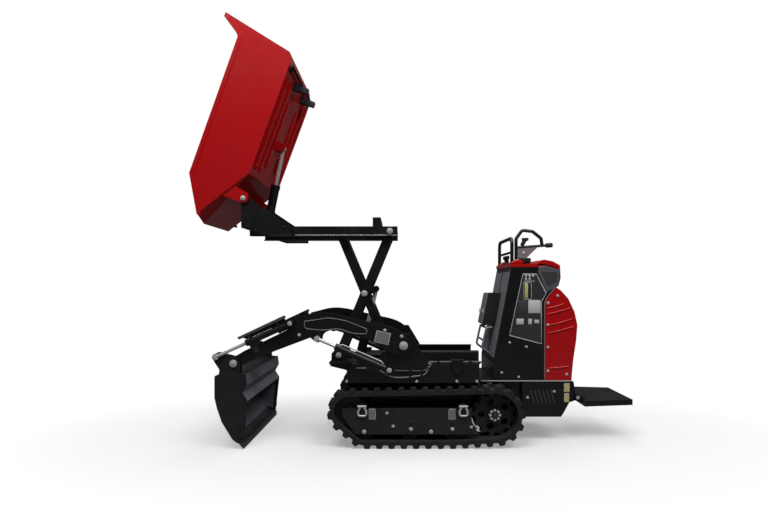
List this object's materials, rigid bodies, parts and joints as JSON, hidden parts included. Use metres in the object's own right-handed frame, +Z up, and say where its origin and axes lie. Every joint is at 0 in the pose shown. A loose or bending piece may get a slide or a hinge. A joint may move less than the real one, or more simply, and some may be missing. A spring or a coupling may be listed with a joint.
{
  "type": "tracked site dumper",
  "caption": "Tracked site dumper with a scissor-lifted tipping skip, a self-loading shovel on gooseneck arms, an upright rear console and a fold-up platform.",
  "frame": {"origin": "centre of the whole outline in plan, on the ground", "axes": "+X forward towards the shovel, +Y to the machine's left, +Z up"},
  "size_m": [2.6904, 0.8334, 2.5712],
  "materials": {
    "track_rubber": "moulded rubber",
    "black_paint": "satin",
    "cast_black": "cast",
    "light_steel": "brushed",
    "red_paint": "gloss",
    "rod_chrome": "polished",
    "grey_paint": "satin",
    "edge_steel": "worn"
  },
  "bodies": {
    "chassis": {"track_left": "track_rubber", "track_right": "track_rubber", "track_frames": "black_paint", "track_rollers": "black_paint", "idlers": "black_paint", "sprockets": "cast_black", "final_drives": "black_paint", "chassis_frame": "black_paint", "deck_plates": "black_paint", "lower_rails": "black_paint", "lift_forks": "black_paint", "side_bodies": "black_paint", "shovel_towers": "black_paint", "console_floor": "black_paint", "console_body": "black_paint", "engine_hood": "red_paint", "engine_block": "cast_black", "console_panel": "red_paint", "console_shoulder": "red_paint", "tool_box": "black_paint", "rear_base": "black_paint", "handlebars": "black_paint", "front_guard": "black_paint", "platform_bracket": "black_paint"},
    "outer_arms": {"scissor_outer_arms": "black_paint"},
    "inner_arms": {"scissor_inner_arms": "black_paint", "scissor_rollers": "light_steel"},
    "upper_frame": {"upper_frame": "black_paint", "hinge_brackets": "black_paint"},
    "skip": {"skip": "red_paint", "skip_feet": "black_paint", "skip_latch_bar": "black_paint"},
    "lift_barrel": {"lift_cylinder_barrel": "black_paint"},
    "lift_rod": {"lift_cylinder_rod": "rod_chrome"},
    "tip_barrel": {"tip_cylinder_barrel": "black_paint"},
    "tip_rod": {"tip_cylinder_rod": "rod_chrome"},
    "boom": {"boom_arms": "grey_paint"},
    "bucket": {"bucket": "grey_paint", "cutting_edge": "edge_steel"},
    "boom_barrels": {"boom_cylinder_barrels": "black_paint"},
    "boom_rods": {"boom_cylinder_rods": "rod_chrome"},
    "bucket_barrels": {"bucket_cylinder_barrels": "black_paint", "bucket_cylinder_guards": "black_paint"},
    "bucket_rods": {"bucket_cylinder_rods": "rod_chrome"},
    "platform": {"platform": "black_paint"}
  },
  "joints": [
    {"name": "lift", "type": "hinge", "parent": "chassis", "child": "outer_arms", "pos_m": [0.48281, 0, 0.516], "axis": [0, -1, 0], "range_deg": [0, 59.5]},
    {"name": "inner_arms_fold", "type": "hinge", "parent": "outer_arms", "child": "inner_arms", "pos_m": [0.32228, 0, 0.90357], "axis": [0, -1, 0], "range_deg": [-119.2, 0]},
    {"name": "upper_frame_level", "type": "hinge", "parent": "outer_arms", "child": "upper_frame", "pos_m": [0.16174, 0, 1.29113], "axis": [0, -1, 0], "range_deg": [-59.7, 0]},
    {"name": "skip_tip", "type": "hinge", "parent": "upper_frame", "child": "skip", "pos_m": [1.02781, 0, 1.47], "axis": [0, -1, 0], "range_deg": [0, 70.4]},
    {"name": "boom", "type": "hinge", "parent": "chassis", "child": "boom", "pos_m": [0.07781, 0, 0.602], "axis": [0, -1, 0], "range_deg": [0, 40]},
    {"name": "bucket", "type": "hinge", "parent": "boom", "child": "bucket", "pos_m": [1.06981, 0, 0.499], "axis": [0, -1, 0], "range_deg": [-35, 75]},
    {"name": "platform_fold", "type": "hinge", "parent": "chassis", "child": "platform", "pos_m": [-1.01119, 0, 0.252], "axis": [0, 1, 0], "range_deg": [0, 90]},
    {"name": "lift_barrel_swing", "type": "hinge", "parent": "chassis", "child": "lift_barrel", "pos_m": [0.39881, 0, 0.33], "axis": [0, -1, 0], "range_deg": [0, 34.12]},
    {"name": "lift_rod_slide", "type": "slide", "parent": "lift_barrel", "child": "lift_rod", "axis": [-0.2328, 0, 0.9725], "range_m": [-0.13392, 0]},
    {"name": "tip_barrel_swing", "type": "hinge", "parent": "upper_frame", "child": "tip_barrel", "pos_m": [0.96981, 0, 1.345], "axis": [0, -1, 0], "range_deg": [0, 61.45]},
    {"name": "tip_rod_slide", "type": "slide", "parent": "tip_barrel", "child": "tip_rod", "axis": [-0.1997, 0, 0.9798], "range_m": [-0.14107, 0]},
    {"name": "boom_barrel_swing", "type": "hinge", "parent": "chassis", "child": "boom_barrels", "pos_m": [0.16081, 0, 0.462], "axis": [0, -1, 0], "range_deg": [0, 38.2]},
    {"name": "boom_rod_slide", "type": "slide", "parent": "boom_barrels", "child": "boom_rods", "axis": [0.918, 0, 0.3966], "range_m": [0, 0.1113]},
    {"name": "bucket_barrel_swing", "type": "hinge", "parent": "boom", "child": "bucket_barrels", "pos_m": [0.73681, 0, 0.733], "axis": [0, -1, 0], "range_deg": [-4.05, 8.45]},
    {"name": "bucket_rod_slide", "type": "slide", "parent": "bucket_barrels", "child": "bucket_rods", "axis": [0.9121, 0, -0.41], "range_m": [-0.12143, 0.0572]}
  ],
  "couplings": [
    {"joint": "inner_arms_fold", "follows": "lift", "ratio": -2},
    {"joint": "upper_frame_level", "follows": "lift", "ratio": -1},
    {"joint": "lift_barrel_swing", "follows": "lift", "ratio": 0.57},
    {"joint": "lift_rod_slide", "follows": "lift", "m_per_rad": -0.128},
    {"joint": "tip_barrel_swing", "follows": "skip_tip", "ratio": 0.87},
    {"joint": "tip_rod_slide", "follows": "skip_tip", "m_per_rad": -0.114},
    {"joint": "boom_barrel_swing", "follows": "boom", "ratio": 0.95},
    {"joint": "boom_rod_slide", "follows": "boom", "m_per_rad": 0.158},
    {"joint": "bucket_barrel_swing", "follows": "bucket", "ratio": 0.11},
    {"joint": "bucket_rod_slide", "follows": "bucket", "m_per_rad": -0.092}
  ]
}
